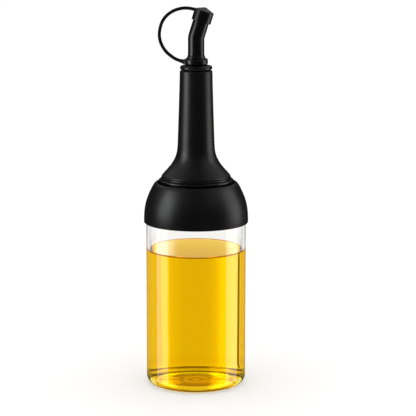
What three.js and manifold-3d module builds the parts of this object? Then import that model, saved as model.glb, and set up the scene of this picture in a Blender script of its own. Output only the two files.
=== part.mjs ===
// Oil dispenser bottle: a wide-mouth glass body with oil in it, a domed screw collar that clamps a
// tapered pouring neck on the mouth, and a pull-out pourer with a bent spout and a tethered cap.
// Millimetres, +Z up, origin on the bottle's axis at the plane that it stands on.
// The spout leans towards +X, and the cap's tether loops out towards -X.
import * as THREE from "three";
import { mergeVertices } from "three/addons/utils/BufferGeometryUtils.js";
import Module from "manifold-3d";

const wasm = await Module();
wasm.setup();

// ---- driving dimensions -------------------------------------------------------------------------

// glass body
const GLASS_R = 36.0; // outside radius of the straight wall
const GLASS_WALL = 2.2;
const FLOOR_Z = 4.2; // inside of the base, at its rim
const SHOULDER_Z = 120.6; // where the wall turns in under the collar
const FINISH_R = 28.6; // outside radius of the mouth between the threads
const MOUTH_R = 25.8; // inside radius of the mouth
const RIM_Z = 138.0; // top of the glass

// oil
const OIL_LEVEL_Z = 99.6;
const OIL_GAP = 0.3;

// three-start round thread between the glass and the collar
const THREAD_STARTS = 3;
const THREAD_LEAD = 15.0; // rise in one turn
const THREAD_R = 1.2; // radius of the round thread bead
const THREAD_SPAN = 130; // degrees covered by each start
const GLASS_THREAD_Z = 130.1; // lower end of each start on the glass
const GLASS_THREAD_PATH_R = 28.95;
const RING_THREAD_PATH_R = 30.4;

// collar
const COLLAR_RIM_R = 37.62;
const COLLAR_RIM_Z = 119.0;
const COLLAR_TOP_Z = 147.95;
const COLLAR_HOLE_R = 27.55;
const RING_BORE_R = 30.75;

// neck
const NECK_FLANGE_R = 28.5;
const NECK_FLANGE_Z = 140.0; // underside of the flange
const NECK_TOP_Z = 228.4;
const PLUG_BORE_R = 9.0;
const SOCKET_BORE_R = 10.1;
const SOCKET_SEAT_Z = 213.4;

// pourer
const SOCKET_R = 9.9;
const CUP_R = 8.2; // inside of the socket's cup
const SPIGOT_R = 8.0; // the spout's foot, which turns in the cup
const SPOUT_R = 5.82;
const SPOUT_BORE_R = 4.0;
const BEND_Z = 251.9;
const SPOUT_TILT = 17.3; // degrees from the vertical, towards +X
const SPOUT_TIP = 18.3; // from the bend to the tip, along the leaning part
const SEAL_R = 11.52; // outside of the seal ring on the neck's rim
const TETHER_RING_R = 8.38;

// cap, measured along the leaning part of the spout from the bend
const CAP_R = 7.02;
const CAP_BORE_R = 6.1;
const CAP_FOOT = 11.5;
const CAP_EDGE = 19.55;
const CAP_POINT = 22.1;

// facets round each family of turned pieces
const ROUND_BIG = 36;
const ROUND_NECK = 28;
const ROUND_SMALL = 24;

// ---- geometry helpers ---------------------------------------------------------------------------

// A closed geometry as a manifold solid, with its faces pointing out.
function solid(geometry) {
  const g = geometry.index ? geometry.toNonIndexed() : geometry.clone();
  for (const name of Object.keys(g.attributes))
    if (name !== "position") g.deleteAttribute(name);
  const merged = mergeVertices(g, 1e-4);
  const all = merged.index.array;
  const tris = [];
  for (let i = 0; i < all.length; i += 3) {
    const [a, b, c] = [all[i], all[i + 1], all[i + 2]];
    if (a !== b && b !== c && a !== c) tris.push(a, b, c);
  }
  const make = (triVerts) =>
    new wasm.Manifold(
      new wasm.Mesh({
        numProp: 3,
        vertProperties: new Float32Array(merged.attributes.position.array),
        triVerts: new Uint32Array(triVerts),
      }),
    );
  const made = make(tris);
  if (made.volume() > 0) return made;
  for (let i = 0; i < tris.length; i += 3)
    [tris[i + 1], tris[i + 2]] = [tris[i + 2], tris[i + 1]];
  return make(tris);
}

function geometryOf(manifold) {
  const m = manifold.getMesh();
  const n = m.numProp;
  const v = new Float32Array(m.numVert * 3);
  for (let i = 0; i < m.numVert; i++)
    v.set(m.vertProperties.subarray(i * n, i * n + 3), i * 3);
  const g = new THREE.BufferGeometry()
    .setAttribute("position", new THREE.BufferAttribute(v, 3))
    .setIndex(new THREE.BufferAttribute(new Uint32Array(m.triVerts), 1));
  g.computeVertexNormals();
  return g;
}

// A profile of [radius, height] pairs turned about Z.
function turned(profile, round) {
  const points = profile.map(([r, z]) => new THREE.Vector2(r, z));
  return solid(new THREE.LatheGeometry(points, round).rotateX(Math.PI / 2));
}

// The same for a ring, whose profile closes on itself.
const turnedRing = (profile, round) => turned([...profile, profile[0]], round);

// A quarter of a circle in a profile, from angle a0 to a1 in degrees.
function arc(r, z, radius, a0, a1, steps) {
  const out = [];
  for (let i = 0; i <= steps; i++) {
    const a = THREE.MathUtils.degToRad(a0 + ((a1 - a0) * i) / steps);
    out.push([r + radius * Math.cos(a), z + radius * Math.sin(a)]);
  }
  return out;
}

function disc(radius, sides) {
  const points = [];
  for (let i = 0; i < sides; i++) {
    const a = (2 * Math.PI * (i + 0.5)) / sides;
    points.push(
      new THREE.Vector2(radius * Math.cos(a), radius * Math.sin(a)),
    );
  }
  return new THREE.Shape(points);
}

const swept = (shape, path, steps) =>
  solid(
    new THREE.ExtrudeGeometry(shape, {
      steps,
      bevelEnabled: false,
      extrudePath: path,
    }),
  );

class Helix extends THREE.Curve {
  constructor(radius, z, from, span) {
    super();
    Object.assign(this, { radius, z, from, span });
  }
  getPoint(t, target = new THREE.Vector3()) {
    const a = THREE.MathUtils.degToRad(this.from + this.span * t);
    return target.set(
      this.radius * Math.cos(a),
      this.radius * Math.sin(a),
      this.z + (THREAD_LEAD * this.span * t) / 360,
    );
  }
}

// The spout's centre line: up, round a short bend, then leaning towards +X.
class SpoutLine extends THREE.Curve {
  constructor(fromZ, tip) {
    super();
    const tilt = THREE.MathUtils.degToRad(SPOUT_TILT);
    this.tilt = tilt;
    this.bend = 9; // bend radius
    const set = this.bend * Math.tan(tilt / 2);
    this.lengths = [BEND_Z - set - fromZ, this.bend * tilt, tip - set];
    this.fromZ = fromZ;
    this.total = this.lengths.reduce((a, b) => a + b);
  }
  getPoint(t, target = new THREE.Vector3()) {
    let s = t * this.total;
    if (s <= this.lengths[0]) return target.set(0, 0, this.fromZ + s);
    s -= this.lengths[0];
    const z0 = this.fromZ + this.lengths[0];
    const a = Math.min(s / this.bend, this.tilt);
    target.set(
      this.bend * (1 - Math.cos(a)),
      0,
      z0 + this.bend * Math.sin(a),
    );
    const rest = s - this.bend * a;
    if (rest > 0) {
      target.x += rest * Math.sin(this.tilt);
      target.z += rest * Math.cos(this.tilt);
    }
    return target;
  }
}

function threads(pathR, z) {
  let all = null;
  for (let i = 0; i < THREAD_STARTS; i++) {
    const bead = swept(
      disc(THREAD_R, 8),
      new Helix(pathR, z, (360 * i) / THREAD_STARTS, THREAD_SPAN),
      12,
    );
    all = all ? all.add(bead) : bead;
  }
  return all;
}

// ---- materials ----------------------------------------------------------------------------------

const GLASS = new THREE.MeshStandardMaterial({
  color: 0xf4f7f6,
  roughness: 0.03,
  metalness: 0,
  transparent: true,
  opacity: 0.3,
});
const OIL = new THREE.MeshStandardMaterial({
  color: 0xe5b105,
  roughness: 0.05,
  metalness: 0,
  transparent: true,
  opacity: 0.85,
});
const MATT_BLACK = new THREE.MeshStandardMaterial({
  color: 0x181817,
  roughness: 0.5,
  metalness: 0,
});
const SATIN_BLACK = new THREE.MeshStandardMaterial({
  color: 0x151514,
  roughness: 0.35,
  metalness: 0,
});
const BLACK_RUBBER = new THREE.MeshStandardMaterial({
  color: 0x131312,
  roughness: 0.45,
  metalness: 0,
});
const CLEAR_SILICONE = new THREE.MeshStandardMaterial({
  color: 0xd9dadd,
  roughness: 0.35,
  metalness: 0,
  transparent: true,
  opacity: 0.6,
});

function piece(name, manifold, material) {
  const mesh = new THREE.Mesh(geometryOf(manifold), material.clone());
  mesh.name = name;
  return mesh;
}

// ---- glass body and oil -------------------------------------------------------------------------

const inR = GLASS_R - GLASS_WALL;

// Outside from the middle of the underside up to the rim, then down the inside.
const glassProfile = [
  [0, 1.55], // shallow hollow under the base, inside its bearing ring
  [12.4, 1.4],
  [20.0, 0.95],
  [23.4, 0.74],
  [26.4, 0],
  [30.4, 0],
  [33.2, 0.78], // rounded heel
  [35.25, 2.9],
  [GLASS_R, 5.8],
  [GLASS_R, SHOULDER_Z],
  ...arc(GLASS_R - 4.2, SHOULDER_Z, 4.2, 30, 72, 2),
  [FINISH_R, 125.4],
  [FINISH_R, RIM_Z - 0.6],
  [FINISH_R - 0.8, RIM_Z],
  [MOUTH_R + 0.6, RIM_Z],
  [MOUTH_R, RIM_Z - 0.6],
  [MOUTH_R, 124.2],
  [30.4, 122.0],
  [inR, 119.6],
  [inR, FLOOR_Z + 4.4],
  ...arc(inR - 4.4, FLOOR_Z + 4.4, 4.4, -45, -90, 1),
  [12, FLOOR_Z + 0.4],
  [0, FLOOR_Z + 0.7], // slightly crowned inside
];
const glassBody = turned(glassProfile, ROUND_BIG).add(
  threads(GLASS_THREAD_PATH_R, GLASS_THREAD_Z),
);

const oilR = inR - OIL_GAP;
const oil = turned(
  [
    [0, FLOOR_Z + 0.7 + OIL_GAP],
    [12, FLOOR_Z + 0.4 + OIL_GAP],
    [inR - 4.4, FLOOR_Z + OIL_GAP],
    [oilR - 1.29, FLOOR_Z + 4.4 - 3.11 + OIL_GAP],
    [oilR, FLOOR_Z + 4.4],
    [oilR, OIL_LEVEL_Z],
    [0, OIL_LEVEL_Z],
  ],
  ROUND_BIG,
);

// ---- collar: outer dome and the threaded ring pressed into it ---------------------------------------

const domeShell = turnedRing(
  [
    [36.55, COLLAR_RIM_Z],
    [COLLAR_RIM_R - 0.25, COLLAR_RIM_Z],
    [COLLAR_RIM_R, COLLAR_RIM_Z + 0.6],
    [37.45, 125.0],
    [36.7, 131.0],
    [35.45, 135.8],
    [33.7, 140.5],
    [31.6, 144.7],
    [30.3, 146.85],
    [29.4, 147.75],
    [28.9, COLLAR_TOP_Z],
    [COLLAR_HOLE_R + 0.3, COLLAR_TOP_Z],
    [COLLAR_HOLE_R, COLLAR_TOP_Z - 0.3],
    [COLLAR_HOLE_R, 146.5],
    [28.3, 145.7],
    [29.9, 143.6],
    [31.9, 139.5],
    [33.5, 135.0],
    [34.6, 130.4],
    [35.2, 125.4],
    [36.55, 122.4],
  ],
  ROUND_BIG,
);

const threadedRing = turnedRing(
  [
    [RING_BORE_R, 126.2],
    [34.75, 126.2],
    [34.2, 130.2],
    [33.1, 134.8],
    [31.55, 139.2],
    [29.6, 143.3],
    [28.3, 145.1],
    [27.2, 145.1],
    [27.2, 142.3], // lip that presses the neck's flange down
    [29.0, 142.3],
    [29.0, 139.4],
    [RING_BORE_R, 136.6],
  ],
  ROUND_BIG,
).add(
  threads(
    RING_THREAD_PATH_R,
    GLASS_THREAD_Z - THREAD_LEAD / THREAD_STARTS / 2,
  ),
);

// ---- neck, its base ring and the mouth gasket -------------------------------------------------------

const neckTower = turnedRing(
  [
    [22.0, NECK_FLANGE_Z],
    [NECK_FLANGE_R, NECK_FLANGE_Z],
    [NECK_FLANGE_R, 142.0],
    [24.0, 142.0],
    [24.0, 152.3],
    [24.85, 152.45],
    [24.6, 153.25],
    [22.95, 155.05],
    [20.38, 157.95],
    [18.03, 160.9],
    [16.13, 163.9],
    [14.68, 167.0],
    [13.78, 170.0],
    [13.38, 173.0],
    [13.04, 181.0],
    [12.18, 207.0],
    [11.68, 226.4],
    [11.25, NECK_TOP_Z],
    [SOCKET_BORE_R + 0.1, NECK_TOP_Z],
    [SOCKET_BORE_R, 227.6],
    [SOCKET_BORE_R, SOCKET_SEAT_Z + 1.2],
    [PLUG_BORE_R, SOCKET_SEAT_Z],
    [PLUG_BORE_R, 192.0],
    [10.6, 176.0],
    [11.6, 168.8],
    [14.0, 162.4],
    [18.4, 156.6],
    [21.2, 153.4],
    [22.0, 151.0],
  ],
  ROUND_NECK,
);

const neckBaseRing = turnedRing(
  [
    [24.3, 148.6],
    [25.6, 148.42],
    [26.6, 148.7],
    [26.92, 149.4],
    [26.55, 150.15],
    [25.2, 150.5],
    [25.3, 151.3],
    [24.95, 151.95],
    [24.3, 152.05],
  ],
  ROUND_BIG,
);

const mouthGasket = turnedRing(
  [
    [24.6, RIM_Z + 0.3],
    [28.3, RIM_Z + 0.3],
    [28.3, NECK_FLANGE_Z - 0.25],
    [24.6, NECK_FLANGE_Z - 0.25],
  ],
  ROUND_BIG,
);

// ---- pourer: socket and ribbed plug -----------------------------------------------------------------

const stopperSocket = turnedRing(
  [
    [5.0, 199.0],
    [6.2, 199.0],
    [6.2, 209.8],
    [8.5, 209.8],
    [8.5, 213.9],
    [SOCKET_R, 215.2],
    [SOCKET_R, 227.4],
    [SOCKET_R - 0.5, 227.8],
    [CUP_R + 0.3, 227.8],
    [CUP_R, 227.4],
    [CUP_R, 217.0],
    [5.0, 217.0],
  ],
  ROUND_SMALL,
);

const rib = (z) => [
  [8.75, z - 0.35],
  [8.75, z + 0.35],
  [7.9, z + 1.1],
];
const ribbedPlug = turnedRing(
  [
    [5.0, 193.5],
    [7.0, 193.5],
    [7.35, 199.2],
    [7.9, 199.5],
    ...rib(200.7),
    ...rib(204.1),
    ...rib(207.5),
    [7.9, 209.5],
    [6.4, 209.5],
    [6.4, 198.7],
    [5.0, 198.7],
  ],
  ROUND_SMALL,
);

// ---- spout, seal ring, tether and cap ---------------------------------------------------------------

const spoutFoot = turned(
  [
    [0, 217.3],
    [SPIGOT_R - 0.4, 217.3],
    [SPIGOT_R, 217.8],
    [SPIGOT_R, 232.0],
    [6.3, 232.0],
    [6.3, 236.9],
    [6.75, 237.1],
    [6.65, 237.8],
    [5.5, 239.4],
    [0, 239.4],
  ],
  ROUND_SMALL,
);
const spoutTube = spoutFoot
  .add(swept(disc(SPOUT_R, ROUND_SMALL), new SpoutLine(236, SPOUT_TIP), 14))
  .subtract(
    swept(disc(SPOUT_BORE_R, 16), new SpoutLine(216, SPOUT_TIP + 1), 18),
  );

const rimSealRing = turnedRing(
  [
    [8.35, 228.95],
    [9.5, 228.75],
    ...arc(SEAL_R - 1.6, 230.35, 1.6, -75, 75, 6),
    [9.5, 231.95],
    [8.35, 231.75],
  ],
  ROUND_NECK,
);

const tetherRing = turnedRing(
  [
    [6.6, 232.35],
    [7.65, 232.35],
    [TETHER_RING_R, 233.4],
    [TETHER_RING_R, 236.0],
    [7.85, 236.8],
    [6.6, 236.8],
  ],
  ROUND_SMALL,
);

// Moulded strap from the ring's left side round to the cap's upper edge.
const STRAP_LINE = [
  [-8.8, 234.78],
  [-11.2, 235.45],
  [-14.0, 236.45],
  [-17.0, 238.2],
  [-20.6, 241.15],
  [-22.9, 244.0],
  [-24.8, 247.5],
  [-25.85, 251.1],
  [-26.09, 254.2],
  [-25.6, 258.2],
  [-24.25, 262.4],
  [-22.2, 265.8],
  [-19.4, 268.5],
  [-16.2, 270.5],
  [-12.6, 271.9],
  [-8.8, 272.55],
  [-4.9, 272.45],
  [-1.35, 271.75],
].map(([x, z]) => new THREE.Vector3(x, 0, z));
const tetherStrap = swept(
  disc(1.2, 8),
  new THREE.CatmullRomCurve3(STRAP_LINE, false, "centripetal"),
  34,
);

// The cap stands on the spout's leaning part: a sleeve with a conical top and a short plug in the bore.
const cap = turned(
  [
    [0, SPOUT_TIP - 2.2],
    [3.3, SPOUT_TIP - 2.2],
    [3.6, SPOUT_TIP - 1.8],
    [3.6, SPOUT_TIP + 0.3],
    [CAP_BORE_R, SPOUT_TIP + 0.3],
    [CAP_BORE_R, CAP_FOOT + 0.3],
    [CAP_BORE_R + 0.3, CAP_FOOT],
    [CAP_R, CAP_FOOT],
    [CAP_R, CAP_EDGE - 0.3],
    [CAP_R - 0.3, CAP_EDGE + 0.1],
    [0.9, CAP_POINT - 0.15],
    [0, CAP_POINT],
  ],
  ROUND_SMALL,
);

// ---- assembly -----------------------------------------------------------------------------------

const bottle = new THREE.Group();
bottle.add(piece("glass_body", glassBody, GLASS));
bottle.add(piece("oil_fill", oil, OIL));

const collar = new THREE.Group();
collar.add(piece("dome_collar", domeShell, MATT_BLACK));
collar.add(piece("threaded_ring", threadedRing, MATT_BLACK));
bottle.add(collar);

const neck = new THREE.Group();
neck.add(piece("neck_tower", neckTower, MATT_BLACK));
neck.add(piece("neck_base_ring", neckBaseRing, BLACK_RUBBER));
neck.add(piece("mouth_gasket", mouthGasket, CLEAR_SILICONE));
bottle.add(neck);

const stopper = new THREE.Group();
stopper.add(piece("stopper_socket", stopperSocket, SATIN_BLACK));
stopper.add(piece("ribbed_plug", ribbedPlug, CLEAR_SILICONE));
neck.add(stopper);

const spout = new THREE.Group();
spout.add(piece("spout_tube", spoutTube, SATIN_BLACK));
spout.add(piece("rim_seal_ring", rimSealRing, BLACK_RUBBER));
spout.add(piece("tether_ring", tetherRing, SATIN_BLACK));
spout.add(piece("tether_strap", tetherStrap, SATIN_BLACK));
stopper.add(spout);

const capSeat = new THREE.Group();
capSeat.position.set(0, 0, BEND_Z);
capSeat.rotation.y = THREE.MathUtils.degToRad(SPOUT_TILT);
capSeat.add(piece("spout_cap", cap, SATIN_BLACK));
spout.add(capSeat);

export default bottle;
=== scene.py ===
import math

import bmesh
import bpy
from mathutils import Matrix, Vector


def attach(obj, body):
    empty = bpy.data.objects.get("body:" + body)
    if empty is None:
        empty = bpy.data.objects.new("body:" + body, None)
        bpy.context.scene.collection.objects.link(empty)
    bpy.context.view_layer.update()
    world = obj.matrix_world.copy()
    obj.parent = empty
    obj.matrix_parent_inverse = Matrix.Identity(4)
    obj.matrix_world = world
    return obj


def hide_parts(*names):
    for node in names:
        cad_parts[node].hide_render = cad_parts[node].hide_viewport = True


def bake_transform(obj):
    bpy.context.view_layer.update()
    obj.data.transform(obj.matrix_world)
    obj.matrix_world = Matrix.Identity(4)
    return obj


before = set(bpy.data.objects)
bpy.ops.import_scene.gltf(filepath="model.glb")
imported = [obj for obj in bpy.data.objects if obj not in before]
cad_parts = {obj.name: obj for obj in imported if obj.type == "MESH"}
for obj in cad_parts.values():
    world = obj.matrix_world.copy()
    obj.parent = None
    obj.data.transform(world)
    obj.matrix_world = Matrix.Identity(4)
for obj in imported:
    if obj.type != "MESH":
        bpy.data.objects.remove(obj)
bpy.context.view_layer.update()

MM = 0.001
TAU = 2 * math.pi

# ---- dimensions in millimetres, as in the part -----------------------------------------------------

BEND_Z, TILT, BEND_R = 251.9, math.radians(17.3), 9.0
TIP, CAP_FOOT, CAP_EDGE, CAP_POINT = 18.3, 11.5, 19.55, 22.1
OIL_Z = 99.9
LEAD, STARTS, SPAN, BEAD = 15.0, 3, 130.0, 1.2
GLASS_THREAD_Z, GLASS_THREAD_R = 130.1, 28.95
RING_THREAD_Z, RING_THREAD_R = 127.6, 30.4

# ---- mesh helpers -----------------------------------------------------------------------------------


def rounded(points, closed=True, step=9.0):
    """A profile of (r, z, corner radius) with its corners rounded, and a close line on each side of a corner to keep flats flat."""
    out, n = [], len(points)
    for i, p in enumerate(points):
        r, z = p[0], p[1]
        rad = p[2] if len(p) > 2 else 0.0
        if rad <= 0 or (not closed and i in (0, n - 1)):
            out.append((r, z))
            continue
        c = Vector((r, z))
        a = Vector(points[i - 1][:2]) - c
        b = Vector(points[(i + 1) % n][:2]) - c
        la, lb = a.length, b.length
        a.normalize()
        b.normalize()
        ang = a.angle(b)
        if ang > math.pi - 0.03:
            out.append((r, z))
            continue
        t = min(rad / math.tan(ang / 2), 0.46 * la, 0.46 * lb)
        rr = t * math.tan(ang / 2)
        mid = c + (a + b).normalized() * (rr / math.sin(ang / 2))
        s, e = c + a * t, c + b * t
        a0 = math.atan2(s.y - mid.y, s.x - mid.x)
        d = math.atan2(e.y - mid.y, e.x - mid.x) - a0
        d = (d + math.pi) % TAU - math.pi
        k = max(2, math.ceil(abs(d) / math.radians(step)))
        hold = min(0.12, 0.03 * la, 0.03 * lb)
        out.append(tuple(s + a * hold))
        for j in range(k + 1):
            q = a0 + d * j / k
            out.append((mid.x + rr * math.cos(q), mid.y + rr * math.sin(q)))
        out.append(tuple(e + b * hold))
    return out


def spline(points, per=5):
    """A smooth line through the points, by centripetal Catmull-Rom."""
    ps = [Vector(p) for p in points]
    ps = [2 * ps[0] - ps[1]] + ps + [2 * ps[-1] - ps[-2]]
    out = []
    for i in range(1, len(ps) - 2):
        p0, p1, p2, p3 = ps[i - 1 : i + 3]
        t0 = 0.0
        t1 = t0 + max((p1 - p0).length, 1e-6) ** 0.5
        t2 = t1 + max((p2 - p1).length, 1e-6) ** 0.5
        t3 = t2 + max((p3 - p2).length, 1e-6) ** 0.5
        for j in range(per):
            t = t1 + (t2 - t1) * j / per
            a1 = p0 * ((t1 - t) / (t1 - t0)) + p1 * ((t - t0) / (t1 - t0))
            a2 = p1 * ((t2 - t) / (t2 - t1)) + p2 * ((t - t1) / (t2 - t1))
            a3 = p2 * ((t3 - t) / (t3 - t2)) + p3 * ((t - t2) / (t3 - t2))
            b1 = a1 * ((t2 - t) / (t2 - t0)) + a2 * ((t - t0) / (t2 - t0))
            b2 = a2 * ((t3 - t) / (t3 - t1)) + a3 * ((t - t1) / (t3 - t1))
            out.append(tuple(b1 * ((t2 - t) / (t2 - t1)) + b2 * ((t - t1) / (t2 - t1))))
    out.append(tuple(ps[-2]))
    return out


def arc(r, z, radius, a0, a1, steps):
    out = []
    for i in range(steps + 1):
        a = math.radians(a0 + (a1 - a0) * i / steps)
        out.append((r + radius * math.cos(a), z + radius * math.sin(a)))
    return out


def line(a, b, steps):
    """Points after a, up to and with b."""
    return [
        (a[0] + (b[0] - a[0]) * i / steps, a[1] + (b[1] - a[1]) * i / steps)
        for i in range(1, steps + 1)
    ]


def new_object(name, verts, faces, sharp=38.0):
    mesh = bpy.data.meshes.new(name)
    mesh.from_pydata([[c * MM for c in v] for v in verts], [], faces)
    bm = bmesh.new()
    bm.from_mesh(mesh)
    bmesh.ops.remove_doubles(bm, verts=bm.verts, dist=1e-7)
    bmesh.ops.dissolve_degenerate(bm, edges=bm.edges, dist=1e-7)
    bmesh.ops.recalc_face_normals(bm, faces=bm.faces)
    bm.to_mesh(mesh)
    bm.free()
    mesh.polygons.foreach_set("use_smooth", [True] * len(mesh.polygons))
    mesh.set_sharp_from_angle(angle=math.radians(sharp))
    obj = bpy.data.objects.new(name, mesh)
    bpy.context.scene.collection.objects.link(obj)
    return obj


def upright(r, z, a):
    return (r * math.cos(a), r * math.sin(a), z)


def on_spout(r, s, a):
    """A point round the spout's centre line, which is upright up to the bend and then leans towards +X. s is a height below the bend, and goes on along the line after it."""
    set_back = BEND_R * math.tan(TILT / 2)
    z0 = BEND_Z - set_back
    if s <= z0:
        cx, cz, t = 0.0, s, 0.0
    else:
        u = s - z0
        t = min(u / BEND_R, TILT)
        cx, cz = BEND_R * (1 - math.cos(t)), z0 + BEND_R * math.sin(t)
        rest = max(0.0, u - BEND_R * TILT)
        cx, cz = cx + rest * math.sin(TILT), cz + rest * math.cos(TILT)
    e = r * math.cos(a)
    return (cx + e * math.cos(t), r * math.sin(a), cz - e * math.sin(t))


def on_cap(r, s, a):
    """A point round the spout's leaning part, s from the bend's corner."""
    e = r * math.cos(a)
    return (
        s * math.sin(TILT) + e * math.cos(TILT),
        r * math.sin(a),
        BEND_Z + s * math.cos(TILT) - e * math.sin(TILT),
    )


def lathe(name, profile, segs=128, closed=True, place=upright, relief=None, sharp=38.0):
    """A profile of (r, z) turned round. An open profile starts and ends on the axis."""
    verts, rings, faces = [], [], []
    for r, z in profile:
        if r < 1e-6:
            rings.append([len(verts)])
            verts.append(place(0.0, z, 0.0))
            continue
        ring = []
        for j in range(segs):
            a = TAU * j / segs
            ring.append(len(verts))
            verts.append(place(relief(r, z, a) if relief else r, z, a))
        rings.append(ring)
    pairs = list(zip(rings, rings[1:])) + ([(rings[-1], rings[0])] if closed else [])
    for lo, hi in pairs:
        if len(lo) == 1 and len(hi) == 1:
            continue
        for j in range(segs):
            k = (j + 1) % segs
            if len(lo) == 1:
                faces.append((lo[0], hi[k], hi[j]))
            elif len(hi) == 1:
                faces.append((lo[j], lo[k], hi[0]))
            else:
                faces.append((lo[j], lo[k], hi[k], hi[j]))
    return new_object(name, verts, faces, sharp)


def thread_relief(path_r, z0, root_r, sign):
    """The round thread's bead as a change of radius on a wall: sign +1 stands out of the wall, -1 stands into the bore."""

    def relief(r, z, a):
        if abs(r - root_r) > 0.02:
            return r
        deg = math.degrees(a) % 360.0
        best = r
        for i in range(STARTS):
            u = (deg - 360.0 * i / STARTS) % 360.0
            if u > SPAN:
                continue
            end = min(u, SPAN - u) / 9.0
            fade = 1.0 if end >= 1 else math.sin(end * math.pi / 2)
            d = z - (z0 + LEAD * u / 360.0)
            if abs(d) < BEAD:
                crest = path_r + sign * math.sqrt(BEAD * BEAD - d * d)
                rise = max(0.0, sign * (crest - root_r)) * fade
                best = max(best, r + rise) if sign > 0 else min(best, r - rise)
        return best

    return relief


# ---- material helpers ---------------------------------------------------------------------------------


class Nodes:
    def __init__(self, name):
        self.mat = bpy.data.materials.new(name)
        self.mat.use_nodes = True
        self.tree = self.mat.node_tree
        self.tree.nodes.clear()
        self.out = self.add("ShaderNodeOutputMaterial")
        self.bsdf = self.add("ShaderNodeBsdfPrincipled")
        self.link(self.bsdf.outputs[0], self.out.inputs["Surface"])
        self.coords = self.add("ShaderNodeTexCoord").outputs["Object"]

    def add(self, kind, **props):
        node = self.tree.nodes.new(kind)
        for key, value in props.items():
            setattr(node, key, value)
        return node

    def link(self, a, b):
        self.tree.links.new(a, b)

    def noise(self, scale, detail=2.0, rough=0.5, stretch=None):
        n = self.add("ShaderNodeTexNoise")
        n.inputs["Scale"].default_value = scale
        n.inputs["Detail"].default_value = detail
        n.inputs["Roughness"].default_value = rough
        source = self.coords
        if stretch:
            m = self.add("ShaderNodeMapping")
            m.inputs["Scale"].default_value = stretch
            self.link(self.coords, m.inputs["Vector"])
            source = m.outputs[0]
        self.link(source, n.inputs["Vector"])
        return n.outputs["Fac"]

    def ramp(self, fac, stops):
        n = self.add("ShaderNodeValToRGB")
        els = n.color_ramp.elements
        while len(els) < len(stops):
            els.new(0.5)
        for el, (pos, col) in zip(els, stops):
            el.position = pos
            el.color = (*col, 1.0)
        self.link(fac, n.inputs["Fac"])
        return n.outputs["Color"]

    def span(self, fac, low, high, a=0.3, b=0.7):
        n = self.add("ShaderNodeMapRange")
        n.inputs["From Min"].default_value = a
        n.inputs["From Max"].default_value = b
        n.inputs["To Min"].default_value = low
        n.inputs["To Max"].default_value = high
        self.link(fac, n.inputs["Value"])
        return n.outputs["Result"]

    def mixed(self, fac, a, b):
        n = self.add("ShaderNodeMix", data_type="RGBA")
        self.link(fac, n.inputs["Factor"])
        for sock, value in ((n.inputs[6], a), (n.inputs[7], b)):
            if isinstance(value, tuple):
                sock.default_value = (*value, 1.0)
            else:
                self.link(value, sock)
        return n.outputs[2]

    def maths(self, op, a, b):
        n = self.add("ShaderNodeMath", operation=op)
        for sock, value in zip(n.inputs, (a, b)):
            if isinstance(value, (int, float)):
                sock.default_value = value
            else:
                self.link(value, sock)
        return n.outputs[0]

    def bump(self, height, strength, distance, after=None):
        n = self.add("ShaderNodeBump")
        n.inputs["Strength"].default_value = strength
        n.inputs["Distance"].default_value = distance
        self.link(height, n.inputs["Height"])
        if after is not None:
            self.link(after, n.inputs["Normal"])
        return n.outputs["Normal"]

    def set(self, name, value):
        sock = self.bsdf.inputs[name]
        if isinstance(value, (int, float)):
            sock.default_value = value
        elif isinstance(value, tuple):
            sock.default_value = (*value, 1.0)
        else:
            self.link(value, sock)


def black_plastic(name, tone, rough, grain=2600.0, bump=0.10, cool=0.0):
    """Moulded black plastic: a fine eroded grain, slow mottling and slightly uneven gloss."""
    m = Nodes(name)
    slow = m.noise(55.0, 3.0, 0.55)
    fine = m.noise(grain, 2.0, 0.6)
    speck = m.noise(grain * 0.42, 1.0, 0.5)
    dark = (tone * 0.80, tone * 0.80, tone * (0.80 + cool))
    pale = (tone * 1.22, tone * 1.22, tone * (1.18 + cool))
    m.set("Base Color", m.mixed(m.span(slow, 0.0, 1.0), dark, pale))
    gloss = m.maths("ADD", m.span(slow, -0.035, 0.035), m.span(fine, -0.03, 0.03))
    m.set("Roughness", m.maths("ADD", gloss, rough))
    m.set("Specular IOR Level", 0.5)
    m.set("IOR", 1.5)
    first = m.bump(fine, bump, 0.00012)
    m.set("Normal", m.bump(speck, bump * 0.7, 0.0002, first))
    return m.mat


def rubber(name, tone, rough):
    m = Nodes(name)
    slow = m.noise(80.0, 3.0, 0.6)
    fine = m.noise(3800.0, 2.0, 0.6)
    m.set("Base Color", m.mixed(m.span(slow, 0.0, 1.0), (tone * 0.8,) * 3, (tone * 1.3,) * 3))
    m.set("Roughness", m.maths("ADD", m.span(fine, -0.05, 0.05), rough))
    m.set("Specular IOR Level", 0.5)
    m.set("IOR", 1.5)
    m.set("Normal", m.bump(fine, 0.08, 0.0001))
    return m.mat


def silicone(name):
    """Milky translucent silicone."""
    m = Nodes(name)
    slow = m.noise(140.0, 3.0, 0.55)
    fine = m.noise(3000.0, 2.0, 0.6)
    m.set("Base Color", m.mixed(m.span(slow, 0.0, 1.0), (0.74, 0.76, 0.79), (0.86, 0.87, 0.89)))
    m.set("Roughness", m.maths("ADD", m.span(fine, -0.05, 0.05), 0.36))
    m.set("Transmission Weight", 0.45)
    m.set("IOR", 1.41)
    m.set("Normal", m.bump(fine, 0.08, 0.0001))
    return m.mat


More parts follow.
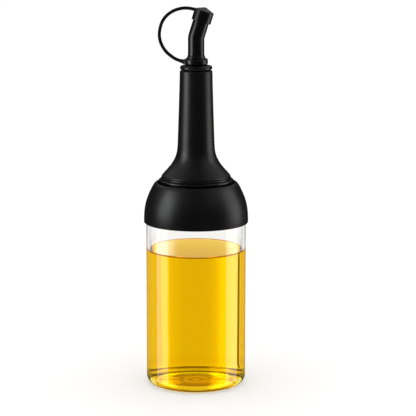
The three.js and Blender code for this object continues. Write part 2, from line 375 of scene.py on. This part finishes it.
def clear_glass(name, wetted=False, painted_oil_line_shade=False, filled=False):
    """Clear soda glass: faint draw lines down the wall and a barely uneven polish; its clear part is painted grey
    towards its grazing edges as painted shade. Where oil wets it, the face mirrors nothing, and the band just under the
    oil's edge is painted dark amber as a painted shade line. The filled part is one body with the oil to the eye: it is
    painted amber towards its grazing edges as painted shade, its foot is painted with the oil's amber glow as painted
    light, and a dark ring round its heel is painted shade.
    """
    m = Nodes(name)
    patch = m.span(m.noise(20.0, 2.0), 0.0, 1.0)
    clear = m.mixed(patch, (0.985, 0.992, 0.988), (0.996, 0.998, 0.996))
    graze = m.add("ShaderNodeLayerWeight").outputs["Facing"]
    if painted_oil_line_shade:
        # Painted shade: the band of wetted wall just under the oil's edge is painted dark amber, a painted shade line.
        m.set("Base Color", m.mixed(patch, (0.33, 0.12, 0.01), (0.37, 0.15, 0.02)))
    elif filled and not wetted:
        height = m.add("ShaderNodeSeparateXYZ")
        m.link(m.coords, height.inputs[0])
        # Painted shade: the filled glass is painted amber towards its grazing edges.
        side = m.mixed(m.span(graze, 0.0, 1.0, 0.55, 0.78), clear, (0.985, 0.88, 0.25))
        # Painted light: below 5 to 14 mm the glass is painted with the oil's amber glow.
        foot = m.mixed(m.span(height.outputs["Z"], 1.0, 0.0, 0.005, 0.014), side, (0.99, 0.84, 0.12))
        # Painted shade: a dark ring round the heel, 1.2 to 2.8 mm up and outside a radius of 30.6 mm.
        painted_heel_shade = m.maths("MULTIPLY", m.span(height.outputs["Z"], 0.0, 1.0, 0.0012, 0.0015), m.span(height.outputs["Z"], 1.0, 0.0, 0.0024, 0.0028))
        out = m.maths("MULTIPLY", height.outputs["X"], height.outputs["X"])
        out = m.maths("ADD", out, m.maths("MULTIPLY", height.outputs["Y"], height.outputs["Y"]))
        painted_heel_shade = m.maths("MULTIPLY", painted_heel_shade, m.span(out, 0.0, 1.0, 0.0306 ** 2, 0.0312 ** 2))
        m.set("Base Color", m.mixed(painted_heel_shade, foot, (0.11, 0.036, 0.008)))
    elif wetted:
        m.set("Base Color", clear)
    else:
        # Painted shade: the clear glass is painted grey towards its grazing edges.
        m.set("Base Color", m.mixed(m.span(graze, 0.0, 1.0, 0.68, 0.90), clear, (0.46, 0.45, 0.43)))
    m.set("Transmission Weight", 1.0)
    m.set("IOR", 1.1 if filled else 1.5)
    if filled and not wetted:
        m.set("Coat Weight", m.span(height.outputs["Z"], 0.0, 1.0, 0.0035, 0.007))
        m.set("Coat IOR", 1.5)
        m.set("Coat Roughness", 0.0)
    m.set("Specular Tint", (0.0, 0.0, 0.0) if wetted else (1.0, 1.0, 1.0))
    m.set("Roughness", 0.0 if filled else m.span(m.noise(120.0, 3.0), 0.0, 0.012))
    wave = m.noise(26.0, 1.0, 0.4, (1.0, 1.0, 0.12))
    m.set("Normal", m.bump(wave, 0.004 if filled else 0.02, 0.0006))
    return m.mat


def oil(name):
    """Clear golden oil: the colour is in its depth and in its skin's tint, which is painted paler and yellower at the
    bottom as a painted glow.
    """
    m = Nodes(name)
    height = m.add("ShaderNodeSeparateXYZ")
    m.link(m.coords, height.inputs[0])
    patch = m.span(m.noise(30.0, 2.0), 0.0, 1.0)
    wall = m.mixed(patch, (0.97, 0.636, 0.10), (0.98, 0.646, 0.12))
    # Painted light: below 5 to 7 mm the oil's skin is painted paler and yellower, a painted glow at the bottom.
    low = m.mixed(m.span(height.outputs["Z"], 1.0, 0.0, 0.005, 0.007), wall, (0.975, 0.745, 0.15))
    m.set("Base Color", m.mixed(m.span(height.outputs["Z"], 0.0, 1.0, 0.098, 0.099), low, (0.975, 0.635, 0.105)))
    m.set("Transmission Weight", 1.0)
    m.set("IOR", 1.10)
    m.set("Specular Tint", (0.0, 0.0, 0.0))
    m.set("Roughness", m.span(m.noise(90.0, 2.0), 0.0, 0.008))
    m.set("Normal", m.bump(m.noise(45.0, 1.0), 0.01, 0.0005))
    v = m.add("ShaderNodeVolumeAbsorption")
    v.inputs["Color"].default_value = (0.975, 0.957, 0.05, 1.0)
    v.inputs["Density"].default_value = 140.0
    m.link(v.outputs[0], m.out.inputs["Volume"])
    return m.mat


def take(obj, body, node, material):
    obj.data.materials.append(material)
    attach(obj, body)
    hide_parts(node)
    return obj


# ---- the camera -----------------------------------------------------------------------------------------

scene = bpy.context.scene
cam = bpy.data.objects.new("camera", bpy.data.cameras.new("camera"))
scene.collection.objects.link(cam)
cam.location = (0.0086, -1.195, 0.353)
cam.rotation_euler = (math.radians(90 - 10.62), math.radians(-0.1), math.radians(0.0184))
cam.data.sensor_width = 36.0
cam.data.lens = 36.0 * 1685.0 / 416.0
cam.data.clip_start = 0.01
cam.data.clip_end = 50.0
scene.camera = cam

# ---- glass and oil ----------------------------------------------------------------------------------------

FINISH = 28.6
FLOOR = 4.2


def underside():
    """The base's moulded relief as (r, z, 0): rings of even slope, each with its own ends, from the middle to the bearing ring."""
    out, z = [(0.0, 1.70)], 1.70
    for r0, r1, slope in ((0.0, 2.4, 2.0), (2.4, 6.4, 0.0), (6.4, 8.8, 1.3), (8.8, 12.4, 0.0), (12.4, 19.6, 3.1), (19.6, 25.2, 1.3)):
        for r in (r0 + 0.15, r0 + 0.45, r1 - 0.45, r1 - 0.15):
            out.append((r, z - (r - r0) * math.tan(math.radians(slope)), 0.0))
        z -= (r1 - r0) * math.tan(math.radians(slope))
    return out + [(25.5, z - 0.1, 0.0), (26.9, 0.16, 0.0), (27.2, 0.085, 0.0), (27.5, 0.075, 0.0), (29.7, 0.025, 0.0), (30.0, 0.018, 0.0)]


glass_profile = rounded(
    [
        *underside(),
        (30.4, 0.0, 0.0),
        *[(30.4 + 5.6 * math.sin(math.radians(6 * i)), 5.8 - 5.8 * math.cos(math.radians(6 * i)), 0.0) for i in range(1, 16)],
        (36.0, 14.0, 0.0),
        (36.0, 60.0, 0.0),
        (36.0, OIL_Z, 0.0),
        (36.0, 121.6, 4.2),
        (FINISH, 125.4, 1.5),
        *[(FINISH, 126.8 + 0.3 * i, 0.0) for i in range(35)],
        (FINISH, 138.0, 0.9),
        (25.8, 138.0, 0.9),
        (25.8, 124.2, 3.5),
        (33.8, 120.7, 2.0),
        (33.8, OIL_Z + 0.12, 0.0),
        (33.8, OIL_Z - 0.05, 0.0),
        (33.8, OIL_Z - 1.25, 0.0),
        (33.8, 60.0, 0.0),
        (33.8, 14.0, 0.0),
        (33.8, FLOOR - 0.2, 4.6),
        (24.0, FLOOR, 2.0),
        (12.0, FLOOR + 0.45, 0.0),
        (5.0, FLOOR + 0.6, 0.0),
        (0.0, FLOOR + 0.65),
    ],
    closed=False,
)
glass = lathe(
    "glass_bottle", glass_profile, 192, closed=False,
    relief=thread_relief(GLASS_THREAD_R, GLASS_THREAD_Z, FINISH, +1),
)
take(glass, "bottle", "glass_body", clear_glass("clear_glass"))
glass.data.materials.append(clear_glass("wetted_glass", wetted=True, filled=True))
# This material is painted shade: a dark line under the oil's edge.
glass.data.materials.append(clear_glass("oil_line_painted_shade_glass", wetted=True, painted_oil_line_shade=True, filled=True))
# The filled glass carries painted shade at its edges and heel, and a painted glow at its foot.
glass.data.materials.append(clear_glass("filled_glass_painted_glow_and_shade", filled=True))
for face in glass.data.polygons:
    # The inside wall below the oil's edge, and the outside as high as the oil.
    c = face.center / MM
    r = math.hypot(c.x, c.y)
    inner = r < 33.9 and c.z > FLOOR - 0.4 and c.z < OIL_Z + 0.11
    if inner and face.normal.dot(Vector((-c.x, -c.y, 30.0))) > 0:
        # The band just under the oil's edge takes the painted shade line.
        face.material_index = 2 if OIL_Z - 1.25 < c.z < OIL_Z - 0.05 else 1
    elif c.z < OIL_Z:
        face.material_index = 3

SINK = 0.14  # the oil wets the glass: its skin lies this far inside the glass's wall
meniscus = []
for i in range(15):
    d = 4.0 * (1 - i / 14) ** 2
    meniscus.append((33.8 - d, OIL_Z + 0.10 * math.exp(-d / 0.8)))
oil_profile = (
    [(0.0, FLOOR + 0.65 - SINK), (5.0, FLOOR + 0.6 - SINK), (12.0, FLOOR + 0.45 - SINK)]
    + rounded(
        [
            (12.1, FLOOR + 0.446 - SINK), (24.0, FLOOR - SINK, 2.0),
            (33.8 + SINK, FLOOR - 0.2 - SINK, 4.6 + SINK), (33.8 + SINK, 60.0),
        ],
        closed=False,
    )[1:]
    + [(33.8 + SINK, OIL_Z + 0.11)]
    + meniscus[::-1]
    + [(20.0, OIL_Z), (8.0, OIL_Z), (0.0, OIL_Z)]
)
oil_body = lathe("oil", oil_profile, 192, closed=False, sharp=50.0)
take(oil_body, "bottle", "oil_fill", oil("golden_oil"))

# ---- collar ----------------------------------------------------------------------------------------------

dome_outer = spline(
    [
        (37.62, 119.8), (37.58, 122.6), (37.44, 125.5), (37.17, 128.3), (36.75, 131.0), (36.13, 133.7),
        (35.33, 136.3), (34.35, 138.9), (33.2, 141.5), (31.98, 144.0), (31.02, 145.75), (30.3, 146.85), (29.85, 147.4),
    ],
    4,
)
dome_profile = (
    rounded([(36.2, 121.0), (36.55, 119.0, 0.35), (37.57, 119.0, 0.35), (37.62, 119.8)], closed=False)[1:-1]
    + dome_outer
    + rounded(
        [
            dome_outer[-1], (29.2, 147.98, 0.4), (27.65, 147.95, 0.3), (27.55, 146.5, 0.4), (28.2, 145.75, 0.3),
            (29.9, 143.6, 1.0), (31.9, 139.5, 2.0), (33.5, 135.0, 2.0), (34.6, 130.4, 2.0), (35.2, 125.4, 1.0),
            (36.55, 122.6, 0.4), (36.55, 119.4),
        ],
        closed=False,
    )[1:-1]
)
MATT = black_plastic("matt_black_plastic", 0.0022, 0.36, cool=0.04)
dome = lathe("collar_dome", dome_profile, 192)
take(dome, "collar", "dome_collar", MATT)

ring_profile = rounded(
    [
        (30.75, 126.2, 0.3), (34.75, 126.2, 0.4), (34.2, 130.2, 1.0), (33.1, 134.8, 1.0), (31.55, 139.2, 1.0),
        (29.6, 143.3, 0.6), (28.3, 145.1, 0.4), (27.2, 145.1, 0.3), (27.2, 142.3, 0.3), (29.0, 142.3, 0.3),
        (29.0, 139.4, 0.5), (30.75, 136.6, 0.4), *[(30.75, 136.0 - 0.3 * i, 0.0) for i in range(32)],
    ]
)
inner_ring = lathe(
    "collar_thread", ring_profile, 160,
    relief=thread_relief(RING_THREAD_R, RING_THREAD_Z, 30.75, -1),
)
take(inner_ring, "collar", "threaded_ring", black_plastic("ring_black_plastic", 0.006, 0.36, 1800.0))

# ---- neck ------------------------------------------------------------------------------------------------

neck_outer = spline(
    [
        (24.6, 153.25), (23.8, 154.1), (22.3, 155.75), (20.38, 157.9), (18.13, 160.7), (16.23, 163.65),
        (14.86, 166.55), (13.98, 169.45), (13.51, 172.35), (13.28, 175.2), (13.06, 181.0), (12.76, 189.7),
        (12.46, 198.3), (12.2, 206.9), (11.94, 215.5), (11.73, 224.4), (11.68, 226.8),
    ],
    5,
)
neck_profile = (
    rounded(
        [
            (22.0, 148.0), (22.0, 140.0, 0.4), (28.5, 140.0, 0.4), (28.5, 142.0, 0.4), (24.0, 142.0, 0.3),
            (24.0, 152.3, 0.1), (24.9, 152.3, 0.45), (24.6, 153.25),
        ],
        closed=False,
    )[1:-1]
    + neck_outer
    + rounded(
        [
            neck_outer[-1], (11.6, 228.4, 0.75), (10.15, 228.4, 0.25), (10.1, 214.6, 0.2), (9.0, 213.4, 0.2),
            (9.0, 192.0, 1.0), (10.6, 176.0, 4.0), (11.6, 168.8, 4.0), (14.0, 162.4, 5.0), (18.4, 156.6, 4.0),
            (21.2, 153.4, 2.0), (22.0, 151.0, 1.0), (22.0, 148.0),
        ],
        closed=False,
    )[1:]
)
neck = lathe("neck_tower_body", neck_profile, 160)
take(neck, "neck", "neck_tower", MATT)

base_ring_profile = (
    [(24.2, 148.9), (24.6, 148.5)]
    + [(25.3, 148.42)]
    + arc(25.92, 149.4, 1.0, -88, 82, 14)
    + [(25.5, 150.38), (25.06, 150.46), (24.95, 150.62)]
    + arc(24.5, 151.25, 0.84, -48, 95, 12)
    + [(24.3, 152.0), (24.2, 151.7), (24.2, 150.2)]
)
base_ring = lathe("neck_base_bead", base_ring_profile, 160)
take(base_ring, "neck", "neck_base_ring", rubber("satin_black_rubber", 0.0025, 0.22))

gasket = lathe(
    "mouth_gasket_ring",
    rounded([(24.6, 138.3, 0.4), (28.3, 138.3, 0.4), (28.3, 139.75, 0.4), (24.6, 139.75, 0.4)]), 128,
)
SILICONE = silicone("milky_silicone")
take(gasket, "neck", "mouth_gasket", SILICONE)

# ---- stopper ---------------------------------------------------------------------------------------------

SATIN = black_plastic("satin_black_plastic", 0.0022, 0.26, grain=3400.0, bump=0.05)
socket_profile = rounded(
    [
        (5.0, 199.0, 0.2), (6.2, 199.0, 0.3), (6.2, 209.8, 0.2), (8.5, 209.8, 0.3), (8.5, 213.8, 0.3),
        (9.9, 215.2, 0.4), (9.9, 227.8, 0.45), (8.2, 227.8, 0.35), (8.2, 217.0, 0.3), (5.0, 217.0, 0.3),
    ]
)
socket = lathe("stopper_cup", socket_profile, 112)
take(socket, "stopper", "stopper_socket", SATIN)


def rib(z):
    return [(7.9, z - 1.0, 0.25), (8.72, z - 0.5, 0.4), (8.72, z + 0.45, 0.4), (7.9, z + 0.95, 0.25)]


plug_profile = rounded(
    [
        (5.0, 193.5, 0.25), (6.95, 193.5, 0.5), (7.35, 199.0, 0.3), *rib(200.7), *rib(204.1), *rib(207.5),
        (7.9, 209.5, 0.3), (6.4, 209.5, 0.25), (6.4, 198.7, 0.2), (5.0, 198.7, 0.25),
    ]
)
plug = lathe("ribbed_stopper", plug_profile, 112)
take(plug, "stopper", "ribbed_plug", SILICONE)

# ---- spout, seal and tether ---------------------------------------------------------------------------------

SET_BACK = BEND_R * math.tan(TILT / 2)
TIP_S = BEND_Z - SET_BACK + BEND_R * TILT + (TIP - SET_BACK)  # the tip's place along the line
spout_profile = rounded(
    [
        (4.0, 217.3, 0.25), (8.0, 217.3, 0.5), (8.0, 232.0, 0.25), (6.3, 232.0, 0.15), (6.3, 236.85, 0.1),
        (6.75, 237.0, 0.2), (6.68, 237.85, 0.35), (6.2, 238.3, 0.5), (5.88, 239.6, 1.4), (5.82, 244.0, 0.0),
        *[(5.82, 246.0 + 0.8 * i, 0.0) for i in range(14)],
        (5.8, TIP_S, 0.5), (4.0, TIP_S, 0.4),
        *[(4.0, 257.2 - 0.8 * i, 0.0) for i in range(14)],
    ]
)
spout = lathe("spout_tube_bent", spout_profile, 112, place=on_spout)
take(spout, "spout", "spout_tube", SATIN)

seal_profile = (
    [(8.35, 231.3), (8.35, 229.4), (8.6, 229.0)]
    + [(9.3, 228.82)]
    + arc(11.52 - 1.58, 230.38, 1.58, -88, 88, 20)
    + [(9.3, 231.95), (8.6, 231.75)]
)
seal = lathe("rim_seal_bead", seal_profile, 144)
take(seal, "spout", "rim_seal_ring", rubber("seal_black_rubber", 0.0025, 0.22))

tether_profile = rounded(
    [
        (6.6, 232.35, 0.15), (7.55, 232.35, 0.25), (8.35, 233.35, 0.5), (8.38, 236.1, 0.35), (7.95, 236.8, 0.3),
        (6.6, 236.8, 0.2),
    ]
)
tether = lathe("tether_band", tether_profile, 112)
take(tether, "spout", "tether_ring", SATIN)

STRAP = [
    (-7.8, 234.55), (-9.1, 234.85), (-11.2, 235.42), (-14.0, 236.42), (-17.0, 238.18), (-20.6, 241.15), (-22.9, 244.0),
    (-24.8, 247.5), (-25.8, 250.9), (-26.09, 254.2), (-25.6, 258.2), (-24.25, 262.4), (-22.25, 265.7),
    (-19.5, 268.45), (-16.2, 270.55), (-12.6, 271.95), (-8.8, 272.6), (-4.9, 272.5), (-1.6, 271.85), (-0.35, 271.5),
]


def strap_mesh(name):
    path = spline(STRAP, 8)
    n, sides, verts, faces = len(path), 20, [], []
    total = [0.0]
    for p, q in zip(path, path[1:]):
        total.append(total[-1] + math.dist(p, q))
    for i, (x, z) in enumerate(path):
        p, q = path[max(i - 1, 0)], path[min(i + 1, n - 1)]
        d = math.dist(p, q)
        tx, tz = (q[0] - p[0]) / d, (q[1] - p[1]) / d
        foot = max(0.0, 1 - total[i] / 4.6) ** 1.6
        head = max(0.0, 1 - (total[-1] - total[i]) / 3.6) ** 1.6
        tall = 1.18 + 0.75 * foot + 0.1 * head
        wide = 1.45 + 1.5 * foot + 1.0 * head
        for j in range(sides):
            a = TAU * (j + 0.5) / sides
            c, s = math.cos(a), math.sin(a)
            c = math.copysign(abs(c) ** 0.62, c) * tall
            s = math.copysign(abs(s) ** 0.62, s) * wide
            verts.append((x - tz * c, s, z - 0.13 + tx * c))
    for i in range(n - 1):
        for j in range(sides):
            k = (j + 1) % sides
            faces.append((i * sides + j, i * sides + k, (i + 1) * sides + k, (i + 1) * sides + j))
    faces.append(tuple(range(sides)))
    faces.append(tuple((n - 1) * sides + j for j in range(sides)))
    return new_object(name, verts, faces, 60.0)


strap = strap_mesh("tether_loop")
strap.data.materials.append(SATIN)
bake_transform(strap)
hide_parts("tether_strap")

cap_profile = rounded(
    [
        (0.0, TIP - 2.2), (3.3, TIP - 2.2, 0.3), (3.6, TIP - 1.5, 0.2), (3.6, TIP + 0.3, 0.2), (6.1, TIP + 0.3, 0.3),
        (6.1, CAP_FOOT + 0.3, 0.15), (6.3, CAP_FOOT, 0.15), (7.02, CAP_FOOT, 0.28), (7.02, CAP_EDGE, 0.42),
        (0.7, CAP_POINT - 0.05, 1.2), (0.0, CAP_POINT),
    ],
    closed=False,
)
cap = lathe("spout_cap_body", cap_profile, 112, closed=False, place=on_cap)
take(cap, "cap", "spout_cap", SATIN)

# ---- floor and light ----------------------------------------------------------------------------------------


def floor_material():
    m = Nodes("pale_floor")
    tint = m.mixed(m.span(m.noise(6.0, 2.0), 0.0, 1.0), (0.90, 0.90, 0.895), (0.91, 0.91, 0.91))
    m.set("Base Color", tint)
    m.set("Roughness", m.span(m.noise(40.0, 2.0), 0.7, 0.8))
    m.set("Specular IOR Level", 0.1)
    m.set("Emission Color", tint)
    m.set("Emission Strength", FLOOR_GLOW)
    return m.mat


FLOOR_GLOW = 0.42


def sheet(name, corners, material):
    mesh = bpy.data.meshes.new(name)
    mesh.from_pydata(corners, [], [tuple(range(len(corners)))])
    obj = bpy.data.objects.new(name, mesh)
    scene.collection.objects.link(obj)
    mesh.materials.append(material)
    return obj


floor = sheet("floor", [(x, y, -0.0002) for x, y in ((-9, -9), (9, -9), (9, 9), (-9, 9))], floor_material())
floor.visible_glossy = False
floor.visible_transmission = False

world = bpy.data.worlds.new("studio")
scene.world = world
world.use_nodes = True
tree = world.node_tree
background = tree.nodes["Background"]
background.inputs["Color"].default_value = (1, 1, 1, 1)


def wnode(kind, **values):
    node = tree.nodes.new(kind)
    for key, value in values.items():
        node.inputs[key.replace("_", " ")].default_value = value
    return node


# What glass and oil show of the studio: a white sweep with a brighter panel behind on each side, a dim band of wall
# above it and a pale ceiling. The floor takes a soft even light from all of it.
rays = wnode("ShaderNodeLightPath")
way = wnode("ShaderNodeSeparateXYZ")
tree.links.new(wnode("ShaderNodeTexCoord").outputs["Generated"], way.inputs[0])
turned = tree.nodes.new("ShaderNodeMath")
turned.operation = "ARCTAN2"
tree.links.new(way.outputs["X"], turned.inputs[0])
tree.links.new(way.outputs["Y"], turned.inputs[1])
spread = wnode("ShaderNodeMapRange", From_Min=math.radians(-60), From_Max=math.radians(60))
tree.links.new(turned.outputs[0], spread.inputs["Value"])


def ramp(source, stops):
    node = tree.nodes.new("ShaderNodeValToRGB")
    elements = node.color_ramp.elements
    while len(elements) < len(stops):
        elements.new(0.5)
    for el, (pos, value) in zip(elements, stops):
        el.position = pos
        el.color = (value, value, value, 1)
    tree.links.new(source, node.inputs["Fac"])
    return node.outputs["Color"]


def times(a, b):
    node = tree.nodes.new("ShaderNodeMath")
    node.operation = "MULTIPLY"
    for sock, value in zip(node.inputs, (a, b)):
        if isinstance(value, float):
            sock.default_value = value
        else:
            tree.links.new(value, sock)
    return node.outputs[0]


def by_turn(stops):
    """Brightness by degrees from straight behind, right positive."""
    return times(ramp(spread.outputs["Result"], [((a + 60) / 120, b / 6) for a, b in stops]), 6.0)


def by_height(low, high, under, over):
    """Under below the direction's height low, over above high."""
    span = wnode("ShaderNodeMapRange", From_Min=low, From_Max=high)
    tree.links.new(way.outputs["Z"], span.inputs["Value"])
    node = tree.nodes.new("ShaderNodeMix")
    tree.links.new(span.outputs["Result"], node.inputs["Factor"])
    for sock, value in ((node.inputs[2], under), (node.inputs[3], over)):
        if isinstance(value, float):
            sock.default_value = value
        else:
            tree.links.new(value, sock)
    return node.outputs[0]


LEFT_PANEL = [(-10.3, 1.65), (-6, 1.65), (-5, 1.33), (-3.9, 1.18), (-2.8, 1.10), (0, 1.08)]
RIGHT_PANEL = [(2, 1.08), (4.0, 1.17), (5.3, 1.22), (5.9, 1.6), (8.3, 1.68), (8.9, 1.15), (60, 1.15)]
GAP = [(-60, 1.15), (-20, 1.15), (-17, 1.25), (-16.5, 1.25), (-16.2, 0.12), (-14.6, 0.12), (-14.3, 1.5)]
PANELS = by_turn(GAP + LEFT_PANEL + RIGHT_PANEL)
LOWER = by_turn([(-60, 1.0), (-14, 1.1)] + LEFT_PANEL + RIGHT_PANEL)
BRIGHT = by_turn([(-9, 1.1), (-7.5, 2.6), (-4.5, 2.6), (-2.5, 1.12), (2.8, 1.12), (4.4, 2.4), (7.2, 2.4), (8.6, 1.1)])
EVEN = by_turn([(-9, 0.9), (-7.5, 1.6), (-4.5, 1.3), (-2.5, 0.52), (2.8, 0.52), (4.4, 1.2), (7.2, 1.5), (8.6, 0.9)])
DIM = by_turn([
    (-16, 0.4), (-8.4, 0.4), (-7.2, 4.5), (-4.2, 4.5), (-2.2, 0.45), (2.8, 0.45), (4.4, 2.6), (7.2, 2.6), (8.6, 0.4),
])
HEEL = by_turn([
    (-11, 0.55), (-9.8, 0.55), (-8.8, 2.4), (-6.5, 2.4), (-5, 0.9), (5, 0.9), (6, 2.4), (8.2, 2.4), (9.3, 0.55),
])
sight = by_height(-0.66, -0.56, 0.85, LOWER)
sight = by_height(-0.295, -0.283, sight, PANELS)
sight = by_height(-0.214, -0.203, sight, 1.0)
sight = by_height(-0.192, -0.186, sight, HEEL)
sight = by_height(-0.155, -0.149, sight, 1.0)
sight = by_height(0.12, 0.13, sight, DIM)
sight = by_height(0.216, 0.222, sight, BRIGHT)
sight = by_height(0.266, 0.272, sight, EVEN)
sight = by_height(0.289, 0.295, sight, BRIGHT)
sight = by_height(0.365, 0.375, sight, DIM)
sight = by_height(0.42, 0.43, sight, 1.0)
by_diffuse = wnode("ShaderNodeMapRange", To_Min=1.0, To_Max=0.75)
tree.links.new(rays.outputs["Is Diffuse Ray"], by_diffuse.inputs["Value"])
by_glass = tree.nodes.new("ShaderNodeMix")
tree.links.new(rays.outputs["Is Transmission Ray"], by_glass.inputs["Factor"])
tree.links.new(by_diffuse.outputs["Result"], by_glass.inputs[2])
tree.links.new(sight, by_glass.inputs[3])
tree.links.new(by_glass.outputs[0], background.inputs["Strength"])
world.cycles.sampling_method = "NONE"
world.cycles_visibility.glossy = False


def glow(name, strength, colour=(1, 1, 1)):
    mat = bpy.data.materials.new(name)
    mat.use_nodes = True
    tree = mat.node_tree
    tree.nodes.clear()
    out = tree.nodes.new("ShaderNodeOutputMaterial")
    em = tree.nodes.new("ShaderNodeEmission")
    em.inputs["Color"].default_value = (*colour, 1)
    em.inputs["Strength"].default_value = strength
    tree.links.new(em.outputs[0], out.inputs["Surface"])
    return mat


def seen_only_by(obj, **kinds):
    for kind in ("camera", "diffuse", "glossy", "transmission", "volume_scatter", "shadow"):
        setattr(obj, "visible_" + kind, kinds.get(kind, False))


# The dim room that gloss mirrors, paler overhead.
room_mesh = bpy.data.meshes.new("room")
bm = bmesh.new()
bmesh.ops.create_icosphere(bm, subdivisions=3, radius=5.0)
bm.to_mesh(room_mesh)
bm.free()
room = bpy.data.objects.new("room", room_mesh)
scene.collection.objects.link(room)
room_glow = glow("dim_room", 1.0)
tree = room_glow.node_tree
where = tree.nodes.new("ShaderNodeSeparateXYZ")
tree.links.new(tree.nodes.new("ShaderNodeTexCoord").outputs["Object"], where.inputs[0])
lift = tree.nodes.new("ShaderNodeMapRange")
lift.inputs["From Min"].default_value, lift.inputs["From Max"].default_value = 1.0, 4.5
lift.inputs["To Min"].default_value, lift.inputs["To Max"].default_value = 0.036, 0.12
tree.links.new(where.outputs["Z"], lift.inputs["Value"])
below = tree.nodes.new("ShaderNodeMapRange")
below.inputs["From Min"].default_value, below.inputs["From Max"].default_value = -2.3, -1.75
below.inputs["To Min"].default_value, below.inputs["To Max"].default_value = 0.3, 0.0
tree.links.new(where.outputs["Z"], below.inputs["Value"])
both = tree.nodes.new("ShaderNodeMath")
tree.links.new(lift.outputs["Result"], both.inputs[0])
tree.links.new(below.outputs["Result"], both.inputs[1])


def dim(source, low, high, top):
    """Rises from 0 at low to top at high."""
    node = tree.nodes.new("ShaderNodeMapRange")
    for key, value in zip(("From Min", "From Max", "To Max"), (low, high, top)):
        node.inputs[key].default_value = value
    tree.links.new(source, node.inputs["Value"])
    return node.outputs["Result"]


def joined(operation, a, b):
    node = tree.nodes.new("ShaderNodeMath")
    node.operation = operation
    tree.links.new(a, node.inputs[0])
    tree.links.new(b, node.inputs[1])
    return node.outputs[0]


# Above, the room is paler towards the sides and behind.
aside = joined("MULTIPLY", where.outputs["X"], where.outputs["X"])
aside = joined("MULTIPLY", dim(aside, 1.0, 10.0, 0.42), dim(where.outputs["Z"], 1.6, 3.6, 1.0))
behind = joined("MULTIPLY", dim(where.outputs["Y"], 1.8, 3.2, 0.5), dim(where.outputs["Z"], 2.0, 2.8, 1.0))
total = joined("ADD", both.outputs[0], joined("ADD", aside, behind))
tree.links.new(total, tree.nodes["Emission"].inputs["Strength"])
room_mesh.materials.append(room_glow)
seen_only_by(room, glossy=True)


def softbox(name, centre, aim, size, radiance, colour=(1, 1, 1)):
    data = bpy.data.lights.new(name, "AREA")
    data.shape = "RECTANGLE"
    data.size, data.size_y = size
    data.energy = radiance * math.pi * size[0] * size[1]
    data.color = colour
    obj = bpy.data.objects.new(name, data)
    scene.collection.objects.link(obj)
    obj.location = centre
    d = Vector(aim) - Vector(centre)
    obj.rotation_euler = d.to_track_quat("-Z", "Y").to_euler()
    obj.visible_camera = False
    obj.visible_diffuse = False
    obj.visible_transmission = False
    return obj


softbox("softbox_left", (-0.27, -0.105, 0.153), (0, -0.105, 0.153), (0.16, 0.094), 3.0, (0.97, 0.99, 1.0))
softbox("softbox_left_top", (-0.27, -0.105, 0.265), (0, -0.105, 0.265), (0.16, 0.13), 3.7, (0.97, 0.99, 1.0))
softbox("softbox_right", (0.27, 0.012, 0.137), (0, 0.012, 0.137), (0.168, 0.126), 1.7, (1.0, 0.99, 0.97))
softbox("softbox_right_top", (0.27, 0.012, 0.265), (0, 0.012, 0.265), (0.165, 0.13), 1.5, (1.0, 0.99, 0.97))

# Only the glass mirrors the low softboxes, and the sweep behind at its edges: grey above, and warm below where the oil's light falls.
glass_only = bpy.data.collections.new("glass_only")
glass_only.objects.link(glass)
for only in (
    softbox("softbox_left_low", (-0.27, -0.0495, -0.056), (0, -0.0495, -0.056), (0.169, 0.25), 2.1, (0.97, 0.99, 1.0)),
    softbox("softbox_right_low", (0.27, -0.0145, -0.056), (0, -0.0145, -0.056), (0.173, 0.25), 2.1, (1.0, 0.99, 0.97)),
    softbox("sweep_behind", (0, 0.45, 0.23), (0, 0, 0.23), (0.9, 0.45), 0.12),
    softbox("sweep_below", (0, 0.45, -0.22), (0, 0, -0.22), (0.9, 0.45), 0.34, (1.0, 0.62, 0.05)),
):
    only.light_linking.receiver_collection = glass_only

scene.cycles.max_bounces = 40
scene.cycles.transmission_bounces = 40
scene.cycles.glossy_bounces = 16
scene.view_settings.view_transform = "Standard"
scene.view_settings.look = "None"
